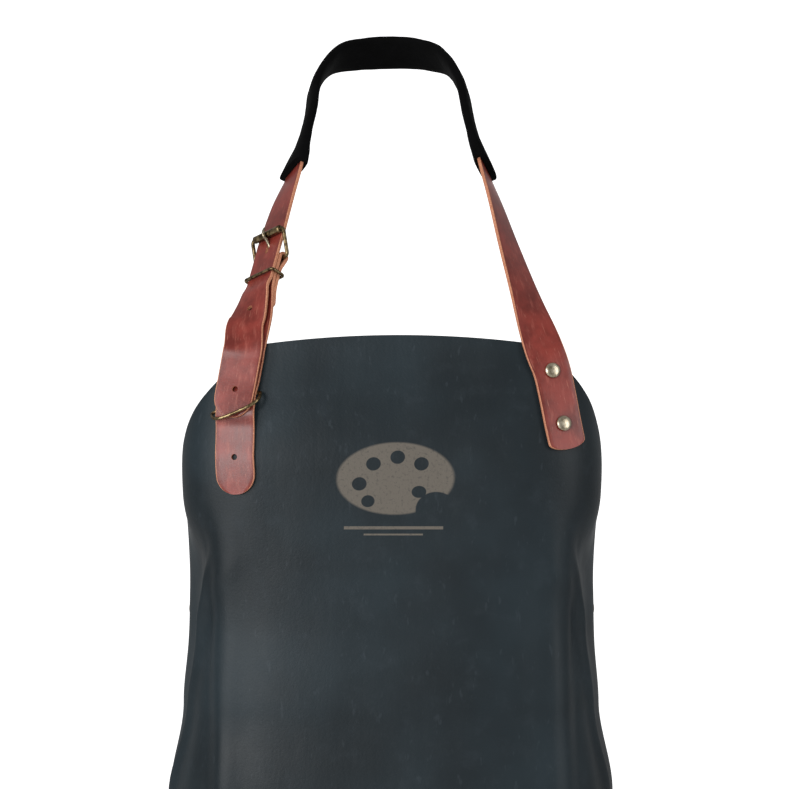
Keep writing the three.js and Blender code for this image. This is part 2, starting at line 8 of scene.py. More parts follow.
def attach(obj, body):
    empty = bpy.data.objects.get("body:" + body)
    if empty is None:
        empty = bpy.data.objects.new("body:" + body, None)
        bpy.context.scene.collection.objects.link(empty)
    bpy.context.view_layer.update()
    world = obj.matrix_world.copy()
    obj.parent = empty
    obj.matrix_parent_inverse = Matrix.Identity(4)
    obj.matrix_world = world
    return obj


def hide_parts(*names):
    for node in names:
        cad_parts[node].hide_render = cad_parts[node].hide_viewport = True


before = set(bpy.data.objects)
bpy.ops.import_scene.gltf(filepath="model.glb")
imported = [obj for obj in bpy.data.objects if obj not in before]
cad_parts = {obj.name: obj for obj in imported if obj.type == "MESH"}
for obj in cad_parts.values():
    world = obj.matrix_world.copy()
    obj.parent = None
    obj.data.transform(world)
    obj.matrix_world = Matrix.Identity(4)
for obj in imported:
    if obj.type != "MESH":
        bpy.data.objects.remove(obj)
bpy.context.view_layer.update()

# lengths are metres; mm() keeps the sizes readable
def mm(value):
    return value / 1000.0


def point(x, y, z):
    return Vector((mm(x), mm(y), mm(z)))


# camera: level with the chest, long lens
camera = bpy.data.objects.new("camera", bpy.data.cameras.new("camera"))
bpy.context.scene.collection.objects.link(camera)
camera.location = point(2.6, -2580, -275)
camera.rotation_euler = (math.radians(90), 0, 0)
camera.data.lens = 145.8
camera.data.clip_end = 40
bpy.context.scene.camera = camera
print("camera set")

leather = {
    "panelThick": mm(2.0),
    "panelWide": mm(650),
    "panelLong": mm(850),
    "bibTop": mm(-230),
    "bibWide": mm(208),
    "bibSway": mm(6),
    "topFall": mm(7),
    "armhole": mm(284),
    "hemCorner": mm(30),
    "strapWide": mm(30),
    "strapThick": mm(2.6),
    "gap": mm(0.3),
    "seat": mm(0.55),
}
bodyRings = [
    (-150, 140, 78, 4.8),
    (-230, 150, 84, 4.8),
    (-330, 160, 99, 4.8),
    (-445, 153.5, 98, 3.8),
    (-515, 159.5, 101, 3.8),
    (-583, 169, 104, 3.8),
    (-720, 180, 108, 3.8),
    (-1080, 184, 112, 3.8),
]
bodyCentre = mm(-80)
layerPitch = leather["strapThick"] + leather["gap"]
onPanel = leather["panelThick"] + leather["seat"] + leather["strapThick"] / 2


def smooth(share):
    share = min(1.0, max(0.0, share))
    return share * share * (3 - 2 * share)


def mix(a, b, share):
    return a + (b - a) * share


def bell(value, middle, spread):
    return math.exp(-((value - middle) / spread) ** 2)


def bodyAt(z):
    rings = [(mm(a), mm(b), mm(c), d) for a, b, c, d in bodyRings]
    if z >= rings[0][0]:
        return rings[0][1:]
    for upper, lower in zip(rings, rings[1:]):
        if z >= lower[0]:
            share = smooth((upper[0] - z) / (upper[0] - lower[0]))
            return tuple(mix(a, b, share) for a, b in zip(upper[1:], lower[1:]))
    return rings[-1][1:]


def onRing(turn, z, lift):
    wide, deep, n = bodyAt(z)
    side, front = math.sin(turn), math.cos(turn)
    reach = (abs(side / wide) ** n + abs(front / deep) ** n) ** (-1 / n)
    out = Vector((
        math.copysign(abs(reach * side / wide) ** (n - 1) / wide, side),
        -math.copysign(abs(reach * front / deep) ** (n - 1) / deep, front),
        0,
    )).normalized()
    return Vector((reach * side, bodyCentre - reach * front, z)) + out * lift, out


def onFront(x, z, lift):
    wide, deep, n = bodyAt(z)
    depth = deep * (1 - abs(x / wide) ** n) ** (1 / n)
    return onRing(math.atan2(x, depth), z, lift)


# turn angles for many walks round the body at one height
def ringTable(z, steps=240):
    total = 0.0
    here = onRing(0, z, 0)[0]
    table = [(0.0, 0.0)]
    for i in range(1, steps + 1):
        after = onRing(math.pi * i / steps, z, 0)[0]
        total += (after - here).length
        table.append((total, math.pi * i / steps))
        here = after
    return table


# value beside a distance in a table sorted by distance
def lookUp(table, distance):
    low, high = 0, len(table) - 1
    while high - low > 1:
        middle = (low + high) // 2
        if table[middle][0] <= distance:
            low = middle
        else:
            high = middle
    (a, first), (b, second) = table[low], table[high]
    return mix(first, second, min(1.0, max(0.0, (distance - a) / max(b - a, 1e-9))))


def turnAt(table, walk):
    return math.copysign(lookUp(table, abs(walk)), walk)


def alongRing(walk, z, lift):
    return onRing(turnAt(ringTable(z), walk), z, lift)


# ends for the spline piece between stops k and k + 1, past the last stops too
def spanOf(stops, k):
    p1, p2 = stops[k], stops[k + 1]
    p0 = stops[k - 1] if k else p1 * 2 - p2
    p3 = stops[k + 2] if k + 2 < len(stops) else p2 * 2 - p1
    return p0, p1, p2, p3


# uniform Catmull-Rom point between p1 and p2
def splineAt(p0, p1, p2, p3, s):
    m1, m2 = (p2 - p0) * 0.5, (p3 - p1) * 0.5
    return (
        p1 * (2 * s ** 3 - 3 * s ** 2 + 1) + m1 * (s ** 3 - 2 * s ** 2 + s)
        + p2 * (-2 * s ** 3 + 3 * s ** 2) + m2 * (s ** 3 - s ** 2)
    )


class Route:
    # spline through the stops, with a matching line of face directions
    def __init__(self, stops):
        self.tracks = list(zip(*stops))
        self.count = len(stops) - 1
        self.marks = []
        travelled = 0.0
        here = self.at(0.0)
        fine = self.count * 40
        for i in range(fine + 1):
            t = i / fine
            spot = self.at(t)
            travelled += (spot - here).length
            here = spot
            self.marks.append((travelled, t))
        self.length = travelled

    def blend(self, t, which):
        place = min(max(t, 0.0), 1.0) * self.count
        k = min(int(place), self.count - 1)
        return splineAt(*spanOf(self.tracks[which], k), place - k)

    def at(self, t):
        return self.blend(t, 0)

    # columns are across, out of the face, along
    def frame(self, distance, lift=0.0):
        t = lookUp(self.marks, distance)
        along = (self.at(min(t + 1e-4, 1)) - self.at(max(t - 1e-4, 0))).normalized()
        out = self.blend(t, 1)
        out = (out - along * out.dot(along)).normalized()
        return axes(out.cross(along), out, along, self.at(t) + out * lift)

    def nearest(self, spot):
        return min(self.marks, key=lambda mark: (self.at(mark[1]) - spot).length)[0]


def axes(across, out, along, origin):
    matrix = Matrix((across, out, along)).transposed().to_4x4()
    matrix.translation = origin
    return matrix


def buckleAxes(origin, out, down):
    along = down.normalized()
    face = (out - along * out.dot(along)).normalized()
    return axes(face.cross(along), face, along, origin)


def inBuckle(matrix, n, u, outN=1.0, outU=0.0):
    return matrix @ point(0, n, u), matrix.to_3x3() @ Vector((0, outN, outU))


# shading helpers
def tone(red, green, blue):
    return tuple(
        (c / 255 / 12.92) if c / 255 <= 0.04045 else ((c / 255 + 0.055) / 1.055) ** 2.4
        for c in (red, green, blue)
    ) + (1.0,)


class Wire:
    def __init__(self, shader, socket):
        self.shader, self.socket = shader, socket

    def math(self, kind, *terms):
        values = dict(enumerate(terms))
        return self.shader.node("ShaderNodeMath", {"operation": kind}, values)

    def __add__(self, other):
        return self.math("ADD", self, other)

    def __sub__(self, other):
        return self.math("SUBTRACT", self, other)

    def __rsub__(self, other):
        return self.math("SUBTRACT", other, self)

    def __mul__(self, other):
        return self.math("MULTIPLY", self, other)

    def __truediv__(self, other):
        return self.math("DIVIDE", self, other)

    def clip(self):
        return self.shader.node("ShaderNodeClamp", {}, {"Value": self})

    def size(self):
        return self.math("ABSOLUTE", self)

    def least(self, other):
        return self.math("MINIMUM", self, other)

    def most(self, other):
        return self.math("MAXIMUM", self, other)

    # 0 below low, 1 above high
    def between(self, low, high):
        settings = {"interpolation_type": "SMOOTHSTEP"}
        values = {"Value": self, "From Min": low, "From Max": high}
        return self.shader.node("ShaderNodeMapRange", settings, values)


class Shader:
    def __init__(self, name):
        self.material = bpy.data.materials.new(name)
        self.material.use_nodes = True
        self.tree = self.material.node_tree
        self.tree.nodes.clear()
        self.output = self.tree.nodes.new("ShaderNodeOutputMaterial")
        self.surface = self.tree.nodes.new("ShaderNodeBsdfPrincipled")
        self.tree.links.new(self.surface.outputs["BSDF"], self.output.inputs["Surface"])

    def give(self, socket, value):
        if isinstance(value, Wire):
            self.tree.links.new(value.socket, socket)
        else:
            socket.default_value = value

    def node(self, kind, settings, values, out=0):
        node = self.tree.nodes.new(kind)
        for key, value in settings.items():
            setattr(node, key, value)
        for key, value in values.items():
            self.give(node.inputs[key], value)
        return Wire(self, node.outputs[out])

    def set(self, **values):
        for key, value in values.items():
            self.give(self.surface.inputs[key.replace("_", " ")], value)
        return self.material

    def objectSpace(self):
        return self.node("ShaderNodeTexCoord", {}, {}, "Object")

    def lay(self):
        return self.node("ShaderNodeUVMap", {"uv_map": "lay"}, {})

    def part(self, vector, axis):
        return self.node("ShaderNodeSeparateXYZ", {}, {0: vector}, axis)

    def scaled(self, vector, x, y, z):
        return self.node("ShaderNodeVectorMath", {"operation": "MULTIPLY"}, {0: vector, 1: (x, y, z)})

    def noise(self, vector, scale, detail=4.0, rough=0.55):
        values = {"Vector": vector, "Scale": scale, "Detail": detail, "Roughness": rough}
        return self.node("ShaderNodeTexNoise", {}, values)

    def cells(self, vector, scale, feature="F1"):
        return self.node("ShaderNodeTexVoronoi", {"feature": feature}, {"Vector": vector, "Scale": scale})

    def blend(self, share, first, second, kind="MIX"):
        settings = {"data_type": "RGBA", "blend_type": kind}
        return self.node("ShaderNodeMix", settings, {0: share, 6: first, 7: second}, 2)

    def bump(self, height, strength, distance, below=None):
        values = {"Strength": strength, "Distance": distance, "Height": height}
        if below is not None:
            values["Normal"] = below
        return self.node("ShaderNodeBump", {}, values)


def grain(shader, space, scale):
    pebbles = shader.cells(space, scale)
    creases = shader.cells(space, scale * 0.45, "DISTANCE_TO_EDGE")
    fine = shader.noise(space, scale * 2.4, 3.0)
    return pebbles * 0.45 + (creases * 4).clip() * 0.3 + fine * 0.35


# generic badge: painter's palette with a thumb hole and five dabs, over two plain rules
def badge(shader):
    lay = shader.lay()
    across = shader.part(lay, 0)
    up = shader.part(lay, 1) + mm(344)

    def oval(cx, cy, rx, ry):
        dx = (across - mm(cx)) / mm(rx)
        dy = (up - mm(cy)) / mm(ry)
        return 1 - (dx * dx + dy * dy).between(0.93, 1.07)

    def rule(down, halfHigh, halfWide):
        high = (up + mm(down)).size().between(mm(halfHigh), mm(halfHigh + 0.3))
        wide = across.size().between(mm(halfWide), mm(halfWide + 0.4))
        return 1 - high.most(wide)

    body = oval(0, 6, 44, 27)
    bite = oval(31, -17, 15, 13)
    thumb = oval(18, -4, 5.5, 4.5)
    dabs = oval(-27, 2, 5.5, 5).most(oval(-17, 17, 5.5, 5)).most(oval(1, 22, 5.5, 5))
    dabs = dabs.most(oval(19, 17, 5.5, 5)).most(oval(-20, -11, 5, 4.5))
    palette = (body - bite).clip() - thumb - dabs
    return palette.clip().most(rule(31, 1.0, 37).clip()).most(rule(36, 0.5, 22).clip())


def panelLeather():
    s = Shader("panelLeather")
    space = s.objectSpace()
    broad = s.noise(space, 7.0, 3.0)
    mottled = s.noise(space, 60.0, 5.0, 0.65)
    colour = s.blend(broad.between(0.35, 0.68), tone(14, 24, 29), tone(26, 38, 44))
    colour = s.blend(mottled.between(0.5, 0.8) * 0.2, colour, tone(50, 59, 66))
    scuffs = s.noise(s.scaled(space, 1, 1, 0.35), 190.0, 2.0, 0.7).between(0.62, 0.74)
    colour = s.blend(scuffs * 0.1, colour, tone(80, 88, 96))
    inked = badge(s)
    # real wear that fades the print in patches
    wearAndSheen = s.noise(space, 420.0, 3.0, 0.7).between(0.28, 0.5)
    colour = s.blend(inked * (wearAndSheen * 0.35 + 0.6), colour, tone(98, 92, 84))
    height = grain(s, space, 620.0)
    creases = s.noise(s.scaled(space, 1, 1, 0.3), 30.0, 4.0, 0.6)
    soft = s.bump(creases, 0.16, mm(3.0))
    rough = broad * 0.12 + mottled * 0.14 + 0.36
    return s.set(Base_Color=colour, Roughness=rough, Normal=s.bump(height, 0.3, mm(0.22), soft),
                 Specular_IOR_Level=0.3)


def fleshSide(name, dark, light):
    s = Shader(name)
    space = s.objectSpace()
    nap = s.noise(space, 900.0, 6.0, 0.75)
    patch = s.noise(space, 26.0, 3.0)
    colour = s.blend((nap * 0.6 + patch * 0.4).between(0.3, 0.7), dark, light)
    return s.set(Base_Color=colour, Roughness=patch * 0.1 + 0.86, Normal=s.bump(nap, 0.5, mm(0.3)))


def cutEdge(name, dark, light):
    s = Shader(name)
    space = s.objectSpace()
    fibres = s.noise(s.scaled(space, 1, 1, 3.0), 700.0, 5.0, 0.7)
    colour = s.blend(fibres.between(0.3, 0.7), dark, light)
    return s.set(Base_Color=colour, Roughness=fibres * 0.2 + 0.6, Normal=s.bump(fibres, 0.35, mm(0.2)))


def strapLeather():
    s = Shader("strapLeather")
    space = s.objectSpace()
    lay = s.lay()
    across = s.part(lay, 0)
    pulled = s.node("ShaderNodeVectorMath", {"operation": "MULTIPLY"}, {0: lay, 1: (1.0, 0.22, 1.0)})
    streaks = s.noise(pulled, 260.0, 4.0, 0.6)
    patch = s.noise(space, 38.0, 4.0, 0.6)
    colour = s.blend(patch.between(0.32, 0.68), tone(98, 34, 27), tone(132, 52, 43))
    colour = s.blend(streaks.between(0.5, 0.76) * 0.4, colour, tone(172, 98, 84))
    rim = across.size().between(mm(12.2), mm(14.6))
    colour = s.blend(rim * 0.55, colour, tone(92, 36, 30))
    scratches = s.noise(s.scaled(lay, 1, 0.1, 1), 900.0, 2.0, 0.5).between(0.64, 0.72)
    colour = s.blend(scratches * 0.3, colour, tone(196, 132, 112))
    height = grain(s, space, 760.0) * 0.7 + streaks * 0.4
    rough = patch * 0.14 + streaks * 0.1 + 0.22
    return s.set(Base_Color=colour, Roughness=rough, Normal=s.bump(height, 0.22, mm(0.2)),
                 Specular_IOR_Level=0.42)


def sleeveSuede():
    s = Shader("sleeveSuede")
    space = s.objectSpace()
    nap = s.noise(space, 1100.0, 6.0, 0.8)
    brushed = s.noise(s.scaled(space, 1, 1, 0.6), 70.0, 3.0, 0.6)
    colour = s.blend((nap * 0.5 + brushed * 0.5).between(0.32, 0.7), tone(2, 2, 2), tone(8, 8, 9))
    folds = s.noise(space, 90.0, 3.0, 0.5)
    return s.set(Base_Color=colour, Roughness=brushed * 0.1 + 0.85,
                 Normal=s.bump(nap, 0.5, mm(0.3), s.bump(folds, 0.3, mm(1.5))),
                 Specular_IOR_Level=0.08)


def antiqueBrass(name, dark, light):
    s = Shader(name)
    space = s.objectSpace()
    patina = s.noise(space, 230.0, 5.0, 0.65)
    specks = s.noise(space, 1500.0, 3.0, 0.6)
    colour = s.blend(patina.between(0.36, 0.66), dark, light)
    colour = s.blend(specks.between(0.55, 0.75) * 0.35, colour, tone(44, 38, 30))
    return s.set(Base_Color=colour, Metallic=1 - specks.between(0.6, 0.85) * 0.15,
                 Roughness=patina * 0.2 + specks * 0.1 + 0.16, Normal=s.bump(specks, 0.12, mm(0.1)))


looks = {
    "panel": panelLeather(),
    "panelBack": fleshSide("panelFlesh", tone(38, 42, 47), tone(64, 69, 75)),
    "panelEdge": cutEdge("panelEdge", tone(26, 29, 33), tone(58, 60, 62)),
    "strap": strapLeather(),
    "strapBack": fleshSide("strapFlesh", tone(150, 100, 76), tone(186, 136, 108)),
    "strapEdge": cutEdge("strapEdge", tone(158, 92, 62), tone(212, 150, 118)),
    "sleeve": sleeveSuede(),
    "brass": antiqueBrass("antiqueBrass", tone(78, 64, 44), tone(158, 138, 102)),
    # paler copy of the brass for the rivet caps and prongs: partly a paler metal, partly painted highlight
    # standing in for the shine on their domes
    "wearAndSheen": antiqueBrass("paleBrassAndSheen", tone(146, 134, 112), tone(206, 196, 174)),
}
print("materials made")


# mesh helpers
def finishMesh(name, build, materials, body, node, corner=38):
    mesh = bpy.data.meshes.new(name)
    bmesh.ops.recalc_face_normals(build, faces=build.faces)
    build.to_mesh(mesh)
    build.free()
    for key in materials:
        mesh.materials.append(looks[key])
    for polygon in mesh.polygons:
        polygon.use_smooth = True
    mesh.set_sharp_from_angle(angle=math.radians(corner))
    piece = bpy.data.objects.new(name, mesh)
    bpy.context.scene.collection.objects.link(piece)
    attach(piece, body)
    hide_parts(node)
    return piece


# corners are (vertex, across, along), kept as the piece's own lay
def layFace(build, layer, corners, mark):
    face = build.faces.new([corner[0] for corner in corners])
    face.material_index = mark
    for loop, corner in zip(face.loops, corners):
        loop[layer].uv = (corner[1], corner[2])


def punch(piece, cutters):
    for cutter in cutters:
        modifier = piece.modifiers.new("hole", "BOOLEAN")
        modifier.object = cutter
        modifier.solver = "EXACT"
        modifier.material_mode = "INDEX"
    bpy.context.view_layer.update()
    graph = bpy.context.evaluated_depsgraph_get()
    cut = bpy.data.meshes.new_from_object(piece.evaluated_get(graph))
    piece.modifiers.clear()
    old = piece.data
    cut.name = piece.name
    piece.data = cut
    bpy.data.meshes.remove(old)
    cut.set_sharp_from_angle(angle=math.radians(38))
    for cutter in cutters:
        tool = cutter.data
        bpy.data.objects.remove(cutter)
        bpy.data.meshes.remove(tool)


# round or slotted cutter along the local out axis
def cutter(matrix, radius, slotLength=0.0, depth=mm(14), sides=32):
    build = bmesh.new()
    rim = []
    for i in range(sides):
        a = 2 * math.pi * (i + 0.5) / sides
        z = math.sin(a) * radius + math.copysign(slotLength / 2, math.sin(a))
        rim.append((math.cos(a) * radius, z))
    lower = [build.verts.new(matrix @ Vector((x, -depth / 2, z))) for x, z in rim]
    upper = [build.verts.new(matrix @ Vector((x, depth / 2, z))) for x, z in rim]
    build.faces.new(lower)
    build.faces.new(upper)
    for i in range(sides):
        j = (i + 1) % sides
        build.faces.new((lower[i], lower[j], upper[j], upper[i]))
    bmesh.ops.recalc_face_normals(build, faces=build.faces)
    mesh = bpy.data.meshes.new("cutter")
    build.to_mesh(mesh)
    build.free()
    mesh.materials.append(looks["strapEdge"])
    tool = bpy.data.objects.new("cutter", mesh)
    bpy.context.scene.collection.objects.link(tool)
    return tool


# section of a strap: flat faces, softened corners; the mark says face 0, edge 1, back 2
def strapSection(wide, thick, soften=mm(0.7)):
    y = thick / 2
    flat, bend = wide / 2 - soften, min(soften, y)
    across = 8
    loop = []
    for side, mark, angles in ((1, 0, (60, 25, -25, -60)), (-1, 2, (-120, -155, 155, 120))):
        loop += [(side * mix(-flat, flat, i / across), side * y, mark) for i in range(across + 1)]
        for a in map(math.radians, angles):
            high = math.copysign(y - bend, a) + bend * math.sin(a)
            loop.append((side * flat + soften * math.cos(a), high, 1))
    return loop


def strip(name, route, section, spots, materials, body, node, inner=None, shape=None):
    build = bmesh.new()
    layer = build.loops.layers.uv.new("lay")
    loops = [section] + ([inner] if inner else [])
    rings = []
    for distance, share in spots:
        matrix = route.frame(distance)
        made = []
        for loop in loops:
            row = []
            for x, y, mark in loop:
                spot = Vector((x * share, y, 0))
                if shape:
                    spot = shape(spot, distance)
                row.append((build.verts.new(matrix @ spot), x * share, distance))
            made.append(row)
        rings.append(made)

    def face(corners, mark):
        layFace(build, layer, corners, min(mark, len(materials) - 1))

    for near, far in zip(rings, rings[1:]):
        for a, b, loop in zip(near, far, loops):
            count = len(a)
            for i in range(count):
                j = (i + 1) % count
                mark = 1 if loop[i][2] != loop[j][2] else loop[i][2]
                face((a[i], a[j], b[j], b[i]), mark)
    for made in (rings[0], rings[-1]):
        if inner:
            count = len(made[0])
            for i in range(count):
                j = (i + 1) % count
                face((made[0][i], made[0][j], made[1][j], made[1][i]), 1)
        else:
            face(made[0], 1)
    return finishMesh(name, build, materials, body, node)


def spotsAlong(start, end, step, startRound=0.0, endRound=0.0, fine=None):
    turns = [math.radians(degrees) for degrees in (9, 16, 24, 33, 43, 54, 65, 77)]
    tip = [(math.cos(turns[0]) - math.cos(a), math.sin(a)) for a in turns]
    spots = []
    if startRound:
        spots += [(start + startRound * reach, share) for reach, share in tip]
    at, stop = start + startRound, end - endRound
    while at < stop - step * 0.3:
        spots.append((at, 1.0))
        at += fine[2] if fine and fine[0] <= at <= fine[1] else step
    spots.append((stop, 1.0))
    if endRound:
        spots += [(end - endRound * reach, share) for reach, share in reversed(tip)]
    return spots


def tube(name, points, radius, body, node, sides=18, closed=True, matrix=Matrix(), samples=6, look="brass"):
    build = bmesh.new()
    count = len(points)
    line = []
    segments = count if closed else count - 1
    for k in range(segments):
        span = [points[(k + i) % count] for i in (-1, 0, 1, 2)] if closed else spanOf(points, k)
        line += [splineAt(*span, i / samples) for i in range(samples)]
    if not closed:
        line.append(points[-1].copy())
    total = len(line)
    side = None
    rings = []
    for i, spot in enumerate(line):
        before = line[(i - 1) % total] if closed or i else spot
        after = line[(i + 1) % total] if closed or i + 1 < total else spot
        along = (after - before).normalized()
        if side is None:
            side = along.orthogonal()
        side = (side - along * side.dot(along)).normalized()
        other = along.cross(side)
        size = radius(i / max(total - 1, 1)) if callable(radius) else radius
        rings.append([
            build.verts.new(matrix @ (spot + (side * math.cos(a) + other * math.sin(a)) * size))
            for a in (2 * math.pi * j / sides for j in range(sides))
        ])
    pairs = list(zip(rings, rings[1:]))
    if closed:
        # the last ring meets the first with the least twist
        shift = min(range(sides), key=lambda k: (rings[-1][0].co - rings[0][k].co).length)
        pairs.append((rings[-1], rings[0][shift:] + rings[0][:shift]))
    for a, b in pairs:
        for j in range(sides):
            k = (j + 1) % sides
            build.faces.new((a[j], a[k], b[k], b[j]))
    if not closed:
        build.faces.new(rings[0])
        build.faces.new(rings[-1])
    return finishMesh(name, build, [look], body, node, 60)


def lathe(name, outline, matrix, body, node, sides=48, closedLoop=False, corner=50, look="brass"):
    build = bmesh.new()
    rows = []
    for r, y in outline:
        if r < 1e-9:
            rows.append([build.verts.new(matrix @ Vector((0, y, 0)))] * sides)
        else:
            rows.append([
                build.verts.new(matrix @ Vector((r * math.cos(a), y, r * math.sin(a))))
                for a in (2 * math.pi * j / sides for j in range(sides))
            ])
    pairs = list(zip(rows, rows[1:]))
    if closedLoop:
        pairs.append((rows[-1], rows[0]))
    for a, b in pairs:
        for j in range(sides):
            k = (j + 1) % sides
            corners = []
            for v in (a[j], a[k], b[k], b[j]):
                if v not in corners:
                    corners.append(v)
            build.faces.new(corners)
    return finishMesh(name, build, [look], body, node, corner)


# panel
def topEdge(walk):
    half, reach = leather["bibWide"] / 2, abs(walk)
    if reach <= half:
        return leather["bibTop"] - leather["topFall"] * (reach / half) ** 2
    q = min(1.0, (reach - half) / (leather["panelWide"] / 2 - half))
    fall = leather["armhole"] * (0.84 * q ** 1.15 + 0.16 * q ** 16)
    return leather["bibTop"] - leather["topFall"] - fall


def hemEdge(walk):
    corner = leather["hemCorner"]
    hem = leather["bibTop"] - leather["panelLong"]
    past = abs(walk) - (leather["panelWide"] / 2 - corner)
    if past <= 0:
        return hem
    return hem + corner - math.sqrt(max(0.0, corner ** 2 - past ** 2))


# millimetres; At is a distance from the middle, Level a height
waistLevel = -445
folds = {
    "ridgeAt": 124,
    "ridgeLevel": -352,
    "ridgeHigh": 2.0,
    "shoulderAt": 129,
    "valleyDeep": 7.5,
    "valleyEnd": 178,
    "creaseAt": 147,
    "creaseLevel": -400,
    "creaseHigh": 4.5,
    "backAt": 232,
    "backHigh": 1.6,
    "dentAt": 172,
    "dentLevel": -392,
    "dentDeep": 3.2,
    "puckerAt": 160,
    "puckerLevel": -432,
    "puckerHigh": 1.8,
    "hipAt": 221,
    "hipHigh": 3.2,
    "wave": 1.5,
    "ripple": 0.45,
}


# how far the leather stands off its smooth shape, in metres; walk, z and x in metres
def lean(walk, z, x):
    side = 1 if walk > 0 else -1
    walkMm, zMm, xMm = walk * 1000, z * 1000, abs(x) * 1000
    reach = abs(walkMm)
    wander = 3.0 * math.sin(zMm / 83 + side) + 1.6 * math.sin(zMm / 31 + 2 * side)

    onFace = 1 if reach < 190 else 0
    ridge = folds["ridgeHigh"] * bell(xMm + wander * 0.35, folds["ridgeAt"], 9) * onFace
    past = smooth((reach - folds["shoulderAt"] - wander * 0.5 - 2) / 20)
    past *= 1 - smooth((reach - folds["valleyEnd"]) / 60)
    slant = 0.36 if side < 0 else 0.3
    crease = folds["creaseHigh"] * bell(reach, folds["creaseAt"] + (folds["creaseLevel"] - zMm) * slant, 7)
    crease *= smooth((-385 - zMm) / 30) * smooth((zMm + 640) / 80)
    back = folds["backHigh"] * bell(reach, folds["backAt"] + wander * 1.5, 20)
    below = smooth((folds["ridgeLevel"] - zMm) / 60)
    lift = below * (ridge - folds["valleyDeep"] * past + crease + back)

    dent = bell(zMm + 0.5 * (reach - 160), folds["dentLevel"], 17) * bell(reach, folds["dentAt"], 24)
    pucker = bell(zMm + 0.9 * (reach - 150), folds["puckerLevel"], 12) * bell(reach, folds["puckerAt"], 34)
    lift -= folds["dentDeep"] * dent
    lift += folds["puckerHigh"] * pucker

    slow = noise.noise(Vector((walkMm / 95 + 4.2, zMm / 260, 0.3))) * folds["wave"]
    small = noise.noise(Vector((walkMm / 34, zMm / 60, 5.1))) * folds["ripple"]
    hold = smooth((reach - 20) / 60) * 0.6 + 0.4

    # flat under the neck straps and the waist straps
    underNeck = bell(xMm, 120, 26) * smooth((zMm + 372) / 30)
    underWaist = bell(zMm, waistLevel, 30) * smooth((reach - 235) / 20)
    seat = 1 - max(underNeck, underWaist)
    hip = folds["hipHigh"] * bell(zMm, waistLevel, 34) * bell(reach, folds["hipAt"], 17)
    return mm((lift + (slow + small) * hold) * seat + hip)


def makePanel():
    columns, rows = 260, 300
    perMetre = 2000
    rimTuck = mm(0.35)
    wide, thick = leather["panelWide"], leather["panelThick"]
    build = bmesh.new()
    layer = build.loops.layers.uv.new("lay")
    tables = {}

    def place(walk, z, lift):
        key = round(z * perMetre)
        if key not in tables:
            tables[key] = ringTable(key / perMetre, 140)
        sway = leather["bibSway"] * smooth((z - mm(waistLevel)) / mm(215))
        turn = turnAt(tables[key], walk + sway)
        base, out = onRing(turn, z, 0)
        return base + out * (lift + lean(walk + sway, z, base.x))

    grid = []
    for layerLift in (thick, 0.0):
        sheet = []
        for i in range(columns + 1):
            walk = wide * (i / columns - 0.5)
            top, hem = topEdge(walk), hemEdge(walk)
            column = []
            for j in range(rows + 1):
                z = mix(top, hem, j / rows)
                tuck = 0 if 0 < i < columns and 0 < j < rows else rimTuck
                side = -tuck if layerLift else tuck
                column.append((build.verts.new(place(walk, z, layerLift + side)), walk, z))
            sheet.append(column)
        grid.append(sheet)

    def face(corners, mark):
        layFace(build, layer, corners, mark)

    outer, inner = grid
    for i in range(columns):
        for j in range(rows):
            face((outer[i][j], outer[i][j + 1], outer[i + 1][j + 1], outer[i + 1][j]), 0)
            face((inner[i][j], inner[i + 1][j], inner[i + 1][j + 1], inner[i][j + 1]), 1)
    border = [(i, 0) for i in range(columns)] + [(columns, j) for j in range(rows)]
    border += [(i, rows) for i in range(columns, 0, -1)] + [(0, j) for j in range(rows, 0, -1)]
    for (a, b), (c, d) in zip(border, border[1:] + border[:1]):
        face((outer[a][b], outer[c][d], inner[c][d], inner[a][b]), 2)
    return finishMesh("apronPanel", build, ["panel", "panelBack", "panelEdge"], "apron", "apron_panel",
                      50)


panel = makePanel()
print("panel made")

# routes
neckBuckle = buckleAxes(point(-92, -116, -154), Vector((-0.73, -0.49, 0.47)), Vector((-0.21, -0.5, -0.84)))
ring = {
    "wire": mm(1.25),
    "halfWide": mm(20.3),
    "height": mm(16),
    "tilt": math.radians(21),
    "lean": math.radians(48),
    "x": mm(-115.3),
    "z": mm(-281),
}
ringSeat = leather["panelThick"] + 2 * ring["wire"] + 6.5 * leather["gap"] + leather["strapThick"] / 2
overRing = ringSeat + layerPitch + leather["gap"]


def front(x, z, lift):
    return onFront(mm(x), mm(z), lift)


def stop(x, y, z, nx, ny, nz):
    return point(x, y, z), Vector((nx, ny, nz))


neckStops = [
    front(131.5, -316, onPanel + mm(0.2)),
    front(127.6, -297, onPanel + mm(0.2)),
    front(124, -277, onPanel + mm(0.2)),
    front(119.8, -257, onPanel + mm(0.2)),
    front(113, -238, onPanel + mm(1)),
    stop(101.5, -143, -198, 0.6, -0.65, 0.4),
    stop(89.6, -119, -158, 0.75, -0.38, 0.5),
    stop(80, -100, -124, 0.83, -0.2, 0.48),
    stop(72, -80, -98, 0.88, -0.06, 0.46),
    stop(65.5, -70, -78, 0.9, -0.02, 0.42),
    stop(60, -58, -54, 0.92, 0, 0.4),
    stop(55, -43, -30, 0.86, 0.1, 0.5),
    stop(43, -18, -9, 0.55, 0.35, 0.75),
    stop(24, -2, -1, 0.2, 0.5, 0.82),
    stop(0, 2.2, 0.8, 0, 0.55, 0.83),
    stop(-26, -2, -1, -0.2, 0.5, 0.82),
    stop(-47, -18, -8, -0.55, 0.35, 0.75),
    stop(-60, -43, -29, -0.86, 0.1, 0.5),
    stop(-64, -58, -54, -0.92, 0, 0.4),
    stop(-69.5, -70, -78, -0.9, -0.06, 0.42),
    stop(-75.5, -82, -100, -0.84, -0.2, 0.48),
    stop(-84, -98, -125, -0.78, -0.38, 0.5),
]
neckStops += [inBuckle(neckBuckle, 0, u) for u in (0, 12, 24, 34, 42)]


